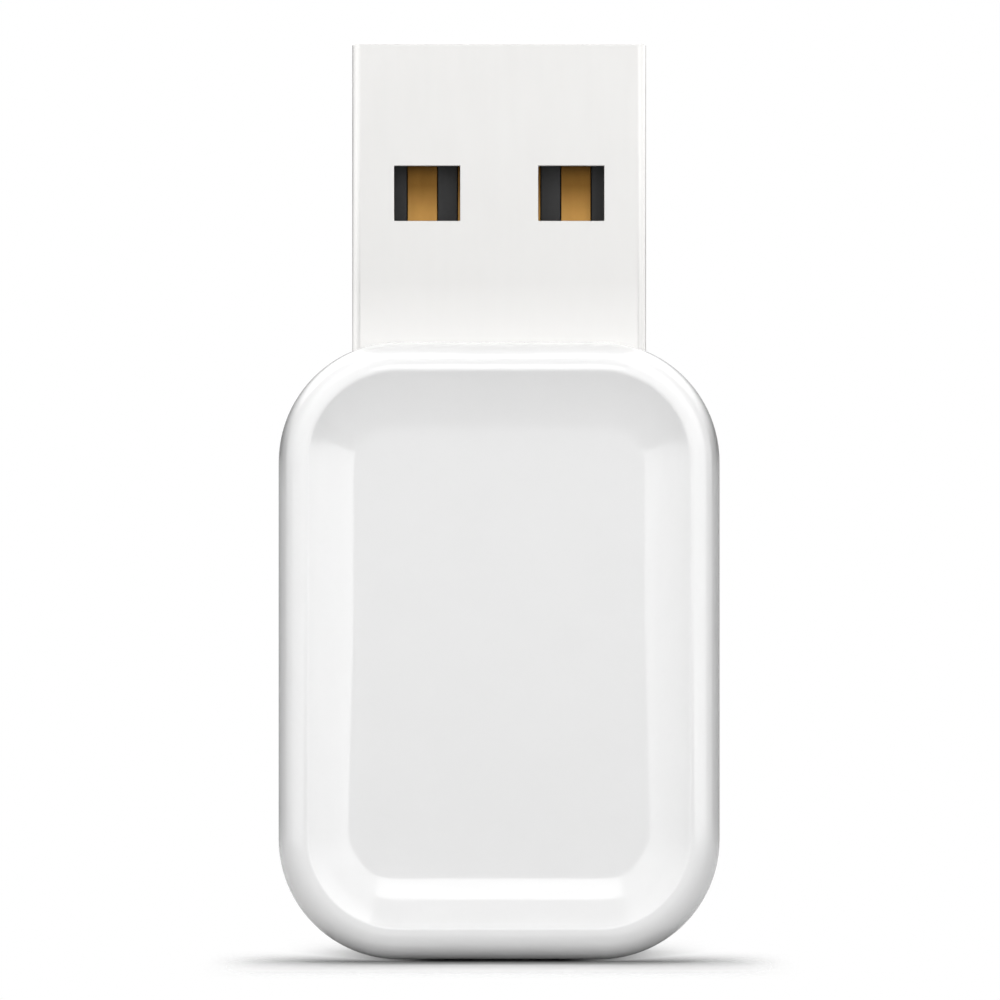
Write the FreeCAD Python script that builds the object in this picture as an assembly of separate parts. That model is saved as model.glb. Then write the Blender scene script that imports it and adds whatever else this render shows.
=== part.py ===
# A slim smart home radio stick: a white dished housing with a USB plug at one end.
# It stands on its closed end with the plug up. The front faces -Y, and +X is to its right.
# The origin is the middle of its footprint, on the surface that it stands on.
import FreeCAD
import Part
import math
import os

V = FreeCAD.Vector

# Housing outside
BODY_WIDTH = 18.0
BODY_HEIGHT = 25.2
BODY_DEPTH = 8.5
CORNER_RADIUS = 4.9
FRONT_ROUND_WIDTH = 1.1
FRONT_ROUND_DEPTH = 2.2
BACK_ROUND = 1.5
PARTING_Y = 0.0
PARTING_GROOVE = 0.12

# Dished front panel
RIM_LAND = 0.15
CREST_ROUND = 0.22
DISH_DEPTH = 0.8
DISH_SIDE_WIDTH = 1.85
DISH_TOP_WIDTH = 2.45
DISH_BOTTOM_WIDTH = 2.25
FLOOR_CORNER = 1.4
DISH_SECTIONS = 6

# Housing walls and the joint between the two covers
SIDE_WALL = 1.2
BACK_WALL = 1.0
CAVITY_EASE = 0.4
LIP_HEIGHT = 0.8
LIP_THICKNESS = 0.5
LIP_CLEARANCE = 0.05
BEAD_RADIUS = 0.12
BEAD_LENGTH = 4.0
BEAD_CLEARANCE = 0.03

# Plug shell, folded from one sheet
PLUG_WIDTH = 12.0
PLUG_DEPTH = 4.5
PLUG_LENGTH = 18.75
PLUG_EXPOSED = 12.2
SHEET = 0.3
SHEET_BEND = 0.05
TIP_EASE = 0.08
WINDOW_WIDTH = 2.69
WINDOW_LENGTH = 2.24
WINDOW_FROM_TIP = 5.03
WINDOW_CENTRE_X = 2.94
SEAM_GAP = 0.06
SEAM_KEY_NECK = 1.0
SEAM_KEY_HEAD = 1.8
SEAM_KEY_LENGTH = 0.9
EAR_LENGTH = 1.6
EAR_FROM_TAIL = 0.3
EAR_FROM_EDGE = 0.3
CATCH_WIDTH = 1.6
CATCH_LENGTH = 1.0
CATCH_DEPTH = 0.25
PLUG_CLEARANCE = 0.05

# Plug insulator and contacts
INSULATOR_CLEARANCE = 0.05
TONGUE_DEPTH = 1.95
TONGUE_SETBACK = 0.6
TONGUE_TIP_EASE = 0.35
CONTACT_WIDTH = 1.24
CONTACT_THICKNESS = 0.25
CONTACT_PROUD = 0.05
CONTACT_INNER_X = 1.08
CONTACT_OUTER_X = 3.155
CONTACT_SETBACK = 0.9
CONTACT_JOG = 0.35
CONTACT_JOG_LENGTH = 0.5
CONTACT_FOOT = 1.0
CONTACT_CLEARANCE = 0.02

# Circuit board
BOARD_THICKNESS = 0.8
BOARD_CLEARANCE = 0.4
NOTCH_CLEARANCE = 0.15
POST_DIAMETER = 1.8
PEG_DIAMETER = 0.9
PEG_CLEARANCE = 0.05
PEG_LENGTH = 1.6
POST_INSET = 3.0
POST_Z = 4.2
RIB_REACH = 1.5
RIB_THICKNESS = 0.8
RIB_BELOW_TAIL = 2.45
SADDLE_THICKNESS = 0.8
SADDLE_WIDTH = 8.0
CRUSH_RIB_WIDTH = 0.6
CRUSH_RIB_HEIGHT = 0.2
CRUSH_RIB_SPACING = 7.0
STOP_WIDTH = 1.1
STOP_THICKNESS = 0.9

# Antenna
ANTENNA_STRIP = 0.4
ANTENNA_SHEET = 0.2
ANTENNA_PITCH = 1.0
ANTENNA_FINGERS = 7
ANTENNA_REACH = 2.2
ANTENNA_STANDOFF = 1.2
ANTENNA_FROM_EDGE = 0.9

# Shield can, and the radio parts under it
CAN_WIDTH = 9.4
CAN_HEIGHT = 1.7
CAN_SHEET = 0.2
CAN_HOLE = 0.6
CAN_HOLE_SPACING = 3.0
RADIO_X = -1.9
RADIO_SIZE = 4.0
RADIO_HEIGHT = 0.85
SIDE_PART_X = 2.7
MATCHING_X = 0.9
MATCHING_SPACING = 1.0
CRYSTAL_WIDTH = 1.6
CRYSTAL_LENGTH = 2.0
CRYSTAL_HEIGHT = 0.6
FILTER_SIZE = 1.4
FILTER_HEIGHT = 0.6

# Row of chips between the shield can and the plug
ROW_GAP = 0.45
BRIDGE_X = -3.2
BRIDGE_SIZE = 3.6
BRIDGE_HEIGHT = 0.85
SURGE_X = 0.5
REGULATOR_X = 3.7
LEADED_WIDTH = 1.6
LEADED_LENGTH = 2.9
LEADED_HEIGHT = 1.1
LEADED_STANDOFF = 0.1
LEAD_WIDTH = 0.4
LEAD_THICKNESS = 0.15
LEAD_SPAN = 2.8
LEAD_PITCH = 0.95
PIN_BEVEL = 0.25

# Ceramic parts with a metal cap at each end
BIG_CAP_LENGTH = 3.2
BIG_CAP_WIDTH = 1.6
BIG_CAP_HEIGHT = 1.4
BIG_CAP_X = 2.6
FUSE_LENGTH = 3.2
FUSE_WIDTH = 1.6
FUSE_HEIGHT = 0.6
FERRITE_LENGTH = 1.6
FERRITE_WIDTH = 0.8
FERRITE_HEIGHT = 0.8
FUSE_FROM_ROW = 2.2
SMALL_LENGTH = 1.0
SMALL_WIDTH = 0.5
SMALL_CAP_HEIGHT = 0.5
RESISTOR_HEIGHT = 0.35
SMALL_SPACING = 1.6
SMALL_ROW_SPREAD = 2.0
END_CAP_LENGTH = 0.2
END_CAP_PROUD = 0.02
CHIP_CLEARANCE = 0.3
SOLDER_HEIGHT = 0.22
SOLDER_MARGIN = 0.3

# Places that follow from the sizes above
FRONT_Y = -BODY_DEPTH / 2
BACK_Y = BODY_DEPTH / 2
RIM_WIDTH = FRONT_ROUND_WIDTH + RIM_LAND
FLOOR_Y = FRONT_Y + DISH_DEPTH
CAVITY_BACK_Y = BACK_Y - BACK_WALL
CAVITY_TOP_Z = BODY_HEIGHT - SIDE_WALL
TIP_Z = BODY_HEIGHT + PLUG_EXPOSED
TAIL_Z = TIP_Z - PLUG_LENGTH
SHELL_FRONT_Y = -PLUG_DEPTH / 2
SHELL_BACK_Y = PLUG_DEPTH / 2
CAVITY_FRONT_Y = SHELL_FRONT_Y - CRUSH_RIB_HEIGHT
BORE_WIDTH = PLUG_WIDTH - 2 * SHEET
BORE_FRONT_Y = SHELL_FRONT_Y + SHEET
BORE_BACK_Y = SHELL_BACK_Y - SHEET
TONGUE_FRONT_Y = BORE_BACK_Y - TONGUE_DEPTH
WINDOW_Z = TIP_Z - WINDOW_FROM_TIP - WINDOW_LENGTH / 2
CONTACT_XS = (-CONTACT_OUTER_X, -CONTACT_INNER_X, CONTACT_INNER_X, CONTACT_OUTER_X)
CONTACT_FRONT_Y = TONGUE_FRONT_Y - CONTACT_PROUD
CONTACT_BACK_Y = CONTACT_FRONT_Y + CONTACT_THICKNESS
FOOT_TOP_Z = TAIL_Z - CONTACT_JOG_LENGTH
FOOT_END_Z = FOOT_TOP_Z - CONTACT_FOOT
BOARD_FRONT_Y = CONTACT_BACK_Y + CONTACT_JOG
BOARD_BACK_Y = BOARD_FRONT_Y + BOARD_THICKNESS
BOARD_INSET = SIDE_WALL + BOARD_CLEARANCE
BOARD_HALF = BODY_WIDTH / 2 - BOARD_INSET
NOTCH_HALF = PLUG_WIDTH / 2 + NOTCH_CLEARANCE
POST_X = BODY_WIDTH / 2 - POST_INSET
RIB_Z = TAIL_Z - RIB_BELOW_TAIL
ANTENNA_Y = BOARD_FRONT_Y - ANTENNA_STANDOFF - ANTENNA_SHEET
ANTENNA_Z = BOARD_INSET + ANTENNA_FROM_EDGE + ANTENNA_REACH / 2
ROW_TOP_Z = FOOT_END_Z - SOLDER_MARGIN - ROW_GAP
ROW_Z = ROW_TOP_Z - BRIDGE_SIZE / 2
CAN_TOP_Z = ROW_TOP_Z - BRIDGE_SIZE - ROW_GAP
CAN_BOTTOM_Z = ANTENNA_Z + ANTENNA_REACH / 2 + ROW_GAP
CAN_MIDDLE_Z = (CAN_TOP_Z + CAN_BOTTOM_Z) / 2
CAN_FRONT_Y = BOARD_FRONT_Y - CAN_HEIGHT
CRYSTAL_Z = CAN_TOP_Z - CAN_SHEET - CHIP_CLEARANCE - CRYSTAL_LENGTH / 2
FILTER_Z = CAN_BOTTOM_Z + CAN_SHEET + CHIP_CLEARANCE + FILTER_SIZE / 2
FUSE_Z = ROW_Z + FUSE_FROM_ROW
FERRITE_Z = ROW_Z - FUSE_FROM_ROW
TINY = 1e-6
MARGIN = 1.0


def block(x0, x1, y0, y1, z0, z1):
    """A square-edged block between two corners."""
    return Part.makeBox(x1 - x0, y1 - y0, z1 - z0, V(x0, y0, z0))


def rod(x, y0, y1, z, diameter):
    """A round bar along Y."""
    return Part.makeCylinder(diameter / 2, y1 - y0, V(x, y0, z), V(0, 1, 0))


def group(solids):
    """Separate solids that share one node."""
    return Part.makeCompound(solids)


def fused(solids):
    """One solid from several that touch."""
    return solids[0].multiFuse(solids[1:]).removeSplitter()


def rounded_wire(x, z0, z1, radius, y):
    """A rounded rectangle across Y, from -x to x and from z0 to z1."""
    k = radius * (1 - math.sqrt(0.5))
    edges = [
        Part.LineSegment(V(-x + radius, y, z0), V(x - radius, y, z0)),
        Part.Arc(V(x - radius, y, z0), V(x - k, y, z0 + k), V(x, y, z0 + radius)),
        Part.LineSegment(V(x, y, z0 + radius), V(x, y, z1 - radius)),
        Part.Arc(V(x, y, z1 - radius), V(x - k, y, z1 - k), V(x - radius, y, z1)),
        Part.LineSegment(V(x - radius, y, z1), V(-x + radius, y, z1)),
        Part.Arc(V(-x + radius, y, z1), V(-x + k, y, z1 - k), V(-x, y, z1 - radius)),
        Part.LineSegment(V(-x, y, z1 - radius), V(-x, y, z0 + radius)),
        Part.Arc(V(-x, y, z0 + radius), V(-x + k, y, z0 + k), V(-x + radius, y, z0)),
    ]
    return Part.Wire([edge.toShape() for edge in edges])


def outline(inset, y):
    """The housing's outline, drawn in from its side faces."""
    half = BODY_WIDTH / 2 - inset
    return rounded_wire(half, inset, BODY_HEIGHT - inset, CORNER_RADIUS - inset, y)


def slab(inset, y0, y1):
    """A plate with the housing's outline, drawn in by inset, between two planes across Y."""
    return Part.Face(outline(inset, y0)).extrude(V(0, y1 - y0, 0))


def board_half_at(z):
    """Half the board's width at a height, also where its corners curve in."""
    radius = CORNER_RADIUS - BOARD_INSET
    above = z - (BODY_HEIGHT - CORNER_RADIUS)
    if above <= 0:
        return BOARD_HALF
    return BOARD_HALF - radius + math.sqrt(radius ** 2 - above ** 2)


def swept_ring(points, y):
    """Carries a straight-sided section round the outline. Each point is (inset, y)."""
    x = -(BODY_WIDTH / 2 - CORNER_RADIUS)
    corners = [V(x, py, inset) for inset, py in points]
    section = Part.Face(Part.makePolygon(corners + corners[:1]))
    return outline(0, y).makePipe(section)


def front_round_waste():
    """What the long rounding takes off the front edge of a square blank."""
    x = -(BODY_WIDTH / 2 - CORNER_RADIUS)
    start_y = FRONT_Y + FRONT_ROUND_DEPTH
    centre = V(x, start_y, FRONT_ROUND_WIDTH)
    crown = V(x, FRONT_Y, FRONT_ROUND_WIDTH)
    flank = V(x, start_y, 0)
    if FRONT_ROUND_DEPTH > FRONT_ROUND_WIDTH:
        curve = Part.Arc(Part.Ellipse(crown, flank, centre), 0, math.pi / 2)
    else:
        curve = Part.Arc(crown, centre + (V(x, FRONT_Y, 0) - centre) * math.sqrt(0.5), flank)
    far = [
        flank,
        V(x, start_y, -MARGIN),
        V(x, FRONT_Y - MARGIN, -MARGIN),
        V(x, FRONT_Y - MARGIN, FRONT_ROUND_WIDTH),
        crown,
    ]
    section = Part.Face(Part.Wire([curve.toShape()] + Part.makePolygon(far).Edges))
    return outline(0, start_y).makePipe(section)


def dish():
    """The concave panel: outlines that shrink towards the floor along a cove."""
    cove = (DISH_SIDE_WIDTH ** 2 + DISH_DEPTH ** 2) / (2 * DISH_DEPTH)
    wires = []
    for index in range(DISH_SECTIONS):
        t = index / (DISH_SECTIONS - 1)
        left = DISH_SIDE_WIDTH * (1 - t)
        depth = DISH_DEPTH - (cove - math.sqrt(cove ** 2 - left ** 2))
        half = BODY_WIDTH / 2 - RIM_WIDTH - t * DISH_SIDE_WIDTH
        low = RIM_WIDTH + t * DISH_BOTTOM_WIDTH
        high = BODY_HEIGHT - RIM_WIDTH - t * DISH_TOP_WIDTH
        radius = (CORNER_RADIUS - RIM_WIDTH) * (1 - t) + FLOOR_CORNER * t
        wires.append(rounded_wire(half, low, high, radius, FRONT_Y + depth))
    return Part.makeLoft(wires, True, False)


def crest_edges(shape):
    """The edges where the dish leaves the rim."""
    half = BODY_WIDTH / 2 - RIM_WIDTH
    found = []
    for edge in shape.Edges:
        box = edge.BoundBox
        flat = abs(box.YMin - FRONT_Y) < TINY and abs(box.YMax - FRONT_Y) < TINY
        inside = max(abs(box.XMin), abs(box.XMax)) < half + TINY
        if flat and inside:
            found.append(edge)
    return found


def outside():
    """The whole outer form of the housing, both covers together."""
    blank = slab(0, FRONT_Y, BACK_Y)
    back = [e for e in blank.Edges if abs(e.BoundBox.YMin - BACK_Y) < TINY]
    blank = blank.makeFillet(BACK_ROUND, back)
    blank = blank.cut(front_round_waste())
    blank = blank.cut(dish())
    blank = blank.makeFillet(CREST_ROUND, crest_edges(blank))
    g = PARTING_GROOVE
    groove = swept_ring([(g, PARTING_Y), (-g, PARTING_Y - 2 * g), (-g, PARTING_Y + 2 * g)], PARTING_Y)
    return blank.cut(groove)


def cavity(y0, y1, closed_y):
    """The hollow inside a cover, eased where its walls meet its closed end."""
    hollow = slab(SIDE_WALL, y0, y1)
    closed = []
    for edge in hollow.Edges:
        box = edge.BoundBox
        if abs(box.YMin - closed_y) < TINY and abs(box.YMax - closed_y) < TINY:
            closed.append(edge)
    return hollow.makeChamfer(CAVITY_EASE, closed)


def plug_opening():
    """The way through the top wall that both covers share."""
    half = PLUG_WIDTH / 2 + PLUG_CLEARANCE
    y0 = SHELL_FRONT_Y - PLUG_CLEARANCE
    y1 = SHELL_BACK_Y + PLUG_CLEARANCE
    return block(-half, half, y0, y1, CAVITY_TOP_Z - MARGIN, BODY_HEIGHT + MARGIN)


def post_places():
    """Where the two posts and pegs hold the board's lower end, as (x, z)."""
    return [(-POST_X, POST_Z), (POST_X, POST_Z)]


def board_ribs(y0, y1):
    """Two ribs on the side walls, level with the chips, that clamp the board between them."""
    ribs = []
    for side in (-1, 1):
        wall = side * (BODY_WIDTH / 2 - SIDE_WALL + LIP_THICKNESS / 2)
        end = side * (BODY_WIDTH / 2 - SIDE_WALL - RIB_REACH)
        z0 = RIB_Z - RIB_THICKNESS / 2
        ribs.append(block(min(wall, end), max(wall, end), y0, y1, z0, z0 + RIB_THICKNESS))
    return ribs


def bead_places():
    """The middles of the snap beads along the straight sides, as (side, z)."""
    straight = BODY_HEIGHT - 2 * CORNER_RADIUS
    lower = CORNER_RADIUS + straight / 2 - BEAD_LENGTH * 0.75
    upper = CORNER_RADIUS + straight / 2 + BEAD_LENGTH * 0.75
    return [(side, z) for side in (-1, 1) for z in (lower, upper)]


def snap_bead(side, z, radius, length):
    """A half-round ridge on the lip's outer face, or the tool for its groove."""
    x = side * (BODY_WIDTH / 2 - SIDE_WALL + LIP_THICKNESS)
    y = PARTING_Y - LIP_HEIGHT / 2
    return Part.makeCylinder(radius, length, V(x, y, z - length / 2), V(0, 0, 1))


def lip_room():
    """The space that the front cover leaves for the rear cover's lip, and behind it."""
    y0 = PARTING_Y - LIP_HEIGHT - LIP_CLEARANCE
    outer = slab(SIDE_WALL - LIP_THICKNESS - LIP_CLEARANCE, y0, BACK_Y)
    return outer.cut(slab(SIDE_WALL + LIP_CLEARANCE, y0 - MARGIN, BACK_Y + MARGIN))


def front_cover():
    """The dished front shell, with its posts, stops and crush ribs."""
    shell = outside().common(slab(-MARGIN, FRONT_Y - MARGIN, PARTING_Y))
    shell = shell.cut(cavity(CAVITY_FRONT_Y, PARTING_Y + MARGIN, CAVITY_FRONT_Y))
    root = (CAVITY_FRONT_Y + FLOOR_Y) / 2
    fittings = board_ribs(root, BOARD_FRONT_Y)
    for x, z in post_places():
        fittings.append(rod(x, root, BOARD_FRONT_Y, z, POST_DIAMETER))
    for side in (-1, 1):
        x = side * CRUSH_RIB_SPACING / 2 - CRUSH_RIB_WIDTH / 2
        z0 = TAIL_Z + SADDLE_THICKNESS
        z1 = CAVITY_TOP_Z - SADDLE_THICKNESS
        fittings.append(block(x, x + CRUSH_RIB_WIDTH, root, SHELL_FRONT_Y, z0, z1))
        outer = side * PLUG_WIDTH / 2
        inner = side * (PLUG_WIDTH / 2 - STOP_WIDTH)
        stop_y = BORE_FRONT_Y + SHEET
        z0 = TAIL_Z - STOP_THICKNESS
        fittings.append(block(min(outer, inner), max(outer, inner), root, stop_y, z0, TAIL_Z))
    shell = fused([shell] + fittings).cut(lip_room())
    for side, z in bead_places():
        groove = snap_bead(side, z, BEAD_RADIUS + BEAD_CLEARANCE, BEAD_LENGTH + 2 * BEAD_CLEARANCE)
        shell = shell.cut(groove)
    for x, z in post_places():
        bore = PEG_DIAMETER + 2 * PEG_CLEARANCE
        bottom = BOARD_FRONT_Y - PEG_LENGTH - PEG_CLEARANCE
        shell = shell.cut(rod(x, bottom, BOARD_FRONT_Y + MARGIN, z, bore))
    return shell.cut(plug_opening())


def rear_cover():
    """The flat back shell, with its lip, beads, posts, pegs and plug saddle."""
    shell = outside().common(slab(-MARGIN, PARTING_Y, BACK_Y + MARGIN))
    lip_inset = SIDE_WALL - LIP_THICKNESS
    lip = slab(lip_inset, PARTING_Y - LIP_HEIGHT, PARTING_Y + BACK_WALL)
    beads = [snap_bead(side, z, BEAD_RADIUS, BEAD_LENGTH) for side, z in bead_places()]
    shell = fused([shell, lip] + beads)
    shell = shell.cut(cavity(PARTING_Y - LIP_HEIGHT - MARGIN, CAVITY_BACK_Y, CAVITY_BACK_Y))
    root = CAVITY_BACK_Y + BACK_WALL / 2
    fittings = board_ribs(BOARD_BACK_Y, root)
    for x, z in post_places():
        fittings.append(rod(x, BOARD_BACK_Y, root, z, POST_DIAMETER))
        fittings.append(rod(x, BOARD_FRONT_Y - PEG_LENGTH, root, z, PEG_DIAMETER))
    z = (TAIL_Z + CAVITY_TOP_Z) / 2
    half = SADDLE_WIDTH / 2
    fittings.append(block(-half, half, SHELL_BACK_Y, root, z, z + SADDLE_THICKNESS))
    shell = fused([shell] + fittings)
    return shell.cut(plug_opening())


def shell_tube(width, depth, corner, z0, z1):
    """A rounded bar along Z, the outside or the bore of the plug shell."""
    bar = block(-width / 2, width / 2, -depth / 2, depth / 2, z0, z1)
    upright = [e for e in bar.Edges if e.BoundBox.ZLength > TINY]
    return bar.makeFillet(corner, upright)


def seam():
    """The slit where the sheet meets itself on the back, with its dovetail key."""
    y0 = BORE_BACK_Y - SHEET
    y1 = SHELL_BACK_Y + SHEET
    half = SEAM_GAP / 2
    z = (TAIL_Z + TIP_Z) / 2
    slit = block(-half, half, y0, y1, TAIL_Z - MARGIN, TIP_Z + MARGIN)
    outer = key_shape(SEAM_GAP / 2, y0, y1, z)
    inner = key_shape(-SEAM_GAP / 2, y0, y1, z)
    across = block(-half, SEAM_KEY_LENGTH, y0, y1, z - SEAM_KEY_NECK / 2, z + SEAM_KEY_NECK / 2)
    slit = slit.cut(across)
    return slit.fuse(outer.cut(inner))


def key_shape(grow, y0, y1, z):
    """The dovetail key of the seam, grown by half the gap."""
    neck = SEAM_KEY_NECK / 2 + grow
    head = SEAM_KEY_HEAD / 2 + grow
    left = -SEAM_GAP / 2
    right = SEAM_KEY_LENGTH + grow
    corners = [V(left, y0, z - neck), V(right, y0, z - head), V(right, y0, z + head), V(left, y0, z + neck)]
    return Part.Face(Part.makePolygon(corners + corners[:1])).extrude(V(0, y1 - y0, 0))


def usb_plug_shell():
    """The folded tube, with windows front and back, seam, soldering ears and catch."""
    corner = SHEET + SHEET_BEND
    tube = shell_tube(PLUG_WIDTH, PLUG_DEPTH, corner, TAIL_Z, TIP_Z)
    rim = [e for e in tube.Edges if abs(e.BoundBox.ZMin - TIP_Z) < TINY]
    tube = tube.makeChamfer(TIP_EASE, rim)
    bore_depth = PLUG_DEPTH - 2 * SHEET
    tube = tube.cut(shell_tube(BORE_WIDTH, bore_depth, SHEET_BEND, TAIL_Z - MARGIN, TIP_Z + MARGIN))
    y0 = SHELL_FRONT_Y - MARGIN
    y1 = SHELL_BACK_Y + MARGIN
    window_z = WINDOW_Z - WINDOW_LENGTH / 2
    for side in (-1, 1):
        x = side * WINDOW_CENTRE_X - WINDOW_WIDTH / 2
        tube = tube.cut(block(x, x + WINDOW_WIDTH, y0, y1, window_z, window_z + WINDOW_LENGTH))
    tube = tube.cut(seam())
    z0 = TAIL_Z + EAR_FROM_TAIL
    z1 = z0 + EAR_LENGTH
    half = PLUG_WIDTH / 2
    ear_end = board_half_at(z1) - EAR_FROM_EDGE
    ear_back = BOARD_FRONT_Y
    ear_front = BOARD_FRONT_Y - SHEET
    unfolded = ear_front - (ear_end - half)
    tube = tube.cut(block(-half - MARGIN, half + MARGIN, unfolded, ear_front, z0, z1))
    slot = block(-half - MARGIN, half + MARGIN, unfolded, ear_back, z0 - SHEET / 2, z0)
    tube = tube.cut(slot)
    tube = tube.cut(slot.translated(V(0, 0, EAR_LENGTH + SHEET / 2)))
    ears = []
    for side in (-1, 1):
        outer = side * ear_end
        inner = side * (half - SHEET)
        ears.append(block(min(outer, inner), max(outer, inner), ear_front, ear_back, z0, z1))
    return fused([tube] + ears + [catch()])


def catch_wedge(depth):
    """The tongue pressed into the plug from its front sheet, seen from the side as a wedge."""
    z1 = (TAIL_Z + BODY_HEIGHT) / 2 + CATCH_LENGTH / 2
    z0 = z1 - CATCH_LENGTH
    x = -CATCH_WIDTH / 2
    y = BORE_FRONT_Y
    buried = y - SHEET / 2
    corners = [V(x, buried, z0), V(x, y + depth, z0), V(x, y, z1), V(x, buried, z1)]
    return Part.Face(Part.makePolygon(corners + corners[:1])).extrude(V(CATCH_WIDTH, 0, 0))


def catch():
    """The catch that holds the insulator in the shell."""
    return catch_wedge(CATCH_DEPTH)


def contact_profile(x, grow):
    """A contact strip: straight through the plug, then a jog down to its foot on the board."""
    front = CONTACT_FRONT_Y - grow
    back = CONTACT_BACK_Y + grow
    top = TIP_Z - CONTACT_SETBACK + grow
    half = CONTACT_WIDTH / 2 + grow
    side = [
        (front, top - CONTACT_THICKNESS),
        (front, TAIL_Z),
        (BOARD_FRONT_Y - CONTACT_THICKNESS, FOOT_TOP_Z),
        (BOARD_FRONT_Y - CONTACT_THICKNESS, FOOT_END_Z),
        (BOARD_FRONT_Y, FOOT_END_Z),
        (BOARD_FRONT_Y, FOOT_TOP_Z),
        (back, TAIL_Z),
        (back, top),
        (front + CONTACT_THICKNESS, top),
    ]
    corners = [V(x - half, y, z) for y, z in side]
    return Part.Face(Part.makePolygon(corners + corners[:1])).extrude(V(2 * half, 0, 0))


def plug_insulator():
    """The moulded block that fills the shell's tail, and the tongue that carries the contacts."""
    half = BORE_WIDTH / 2 - INSULATOR_CLEARANCE
    top = TIP_Z - TONGUE_SETBACK
    body = block(-half, half, BORE_FRONT_Y + INSULATOR_CLEARANCE, BORE_BACK_Y, TAIL_Z, BODY_HEIGHT)
    ease = TONGUE_TIP_EASE
    side = [
        (BORE_BACK_Y, TAIL_Z),
        (BORE_BACK_Y, top),
        (TONGUE_FRONT_Y + ease, top),
        (TONGUE_FRONT_Y, top - ease),
        (TONGUE_FRONT_Y, TAIL_Z),
    ]
    corners = [V(-half, y, z) for y, z in side]
    tongue = Part.Face(Part.makePolygon(corners + corners[:1])).extrude(V(2 * half, 0, 0))
    solid = fused([body, tongue])
    for x in CONTACT_XS:
        solid = solid.cut(contact_profile(x, CONTACT_CLEARANCE))
    return solid.cut(catch_wedge(CATCH_DEPTH + INSULATOR_CLEARANCE))


def circuit_board():
    """The board, notched for the plug's tail and drilled for the pegs."""
    board = slab(BOARD_INSET, BOARD_FRONT_Y, BOARD_BACK_Y)
    notch_z = TAIL_Z - NOTCH_CLEARANCE
    y0 = BOARD_FRONT_Y - MARGIN
    y1 = BOARD_BACK_Y + MARGIN
    board = board.cut(block(-NOTCH_HALF, NOTCH_HALF, y0, y1, notch_z, BODY_HEIGHT))
    for x, z in post_places():
        board = board.cut(rod(x, y0, y1, z, PEG_DIAMETER + 2 * PEG_CLEARANCE))
    return board


def stamped_antenna():
    """A strip stamped into a zigzag, carried clear of the board by a foot at each end."""
    strip = ANTENNA_STRIP
    step = ANTENNA_PITCH
    half = step * ANTENNA_FINGERS / 2
    z0 = ANTENNA_Z - ANTENNA_REACH / 2
    z1 = ANTENNA_Z + ANTENNA_REACH / 2
    y0 = ANTENNA_Y
    y1 = ANTENNA_Y + ANTENNA_SHEET
    pieces = []
    for index in range(ANTENNA_FINGERS + 1):
        x = -half + index * step
        pieces.append(block(x - strip / 2, x + strip / 2, y0, y1, z0, z1))
        if index < ANTENNA_FINGERS:
            z = z1 - strip if index % 2 == 0 else z0
            pieces.append(block(x, x + step, y0, y1, z, z + strip))
    for end in (-half, half):
        pieces.append(block(end - strip / 2, end + strip / 2, y0, BOARD_FRONT_Y, z0, z0 + ANTENNA_SHEET))
    return fused(pieces)


def antenna_solder():
    """The wedges of solder against the antenna's two feet."""
    joints = []
    foot_z = ANTENNA_Z - ANTENNA_REACH / 2
    for side in (-1, 1):
        x = side * ANTENNA_PITCH * ANTENNA_FINGERS / 2
        corners = [
            V(x - ANTENNA_STRIP / 2, BOARD_FRONT_Y, foot_z),
            V(x - ANTENNA_STRIP / 2, BOARD_FRONT_Y - SOLDER_HEIGHT, foot_z),
            V(x - ANTENNA_STRIP / 2, BOARD_FRONT_Y, foot_z - SOLDER_MARGIN),
        ]
        wedge = Part.Face(Part.makePolygon(corners + corners[:1]))
        joints.append(wedge.extrude(V(ANTENNA_STRIP, 0, 0)))
    return group(joints)


def contact_solder():
    """The wedges of solder at the ends of the four contact feet."""
    joints = []
    for x in CONTACT_XS:
        half = CONTACT_WIDTH / 2
        corners = [
            V(x - half, BOARD_FRONT_Y, FOOT_END_Z),
            V(x - half, BOARD_FRONT_Y - SOLDER_HEIGHT, FOOT_END_Z),
            V(x - half, BOARD_FRONT_Y, FOOT_END_Z - SOLDER_MARGIN),
        ]
        wedge = Part.Face(Part.makePolygon(corners + corners[:1]))
        joints.append(wedge.extrude(V(CONTACT_WIDTH, 0, 0)))
    return group(joints)


def shell_solder():
    """The wedges of solder from the outer ends of the shell's ears to the board's edge."""
    z0 = TAIL_Z + EAR_FROM_TAIL
    edge = board_half_at(z0 + EAR_LENGTH)
    joints = []
    for side in (-1, 1):
        x = side * (edge - EAR_FROM_EDGE)
        corners = [
            V(x, BOARD_FRONT_Y, z0),
            V(x, BOARD_FRONT_Y - SOLDER_HEIGHT, z0),
            V(side * edge, BOARD_FRONT_Y, z0),
        ]
        wedge = Part.Face(Part.makePolygon(corners + corners[:1]))
        joints.append(wedge.extrude(V(0, 0, EAR_LENGTH)))
    return group(joints)


def chip(x, z, width, length, height, standoff=0):
    """A flat chip on the board's front face. The bevelled corner marks its first pin."""
    y1 = BOARD_FRONT_Y - standoff
    left = x - width / 2
    top = z + length / 2
    body = block(left, left + width, y1 - height, y1, top - length, top)
    corner = []
    for edge in body.Edges:
        box = edge.BoundBox
        if abs(box.XMax - left) < TINY and abs(box.ZMin - top) < TINY:
            corner.append(edge)
    return body.makeChamfer(PIN_BEVEL, corner)


def leaded_body(x):
    """The body of a small chip that stands on formed leads."""
    return chip(x, ROW_Z, LEADED_WIDTH, LEADED_LENGTH, LEADED_HEIGHT, LEADED_STANDOFF)


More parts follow.
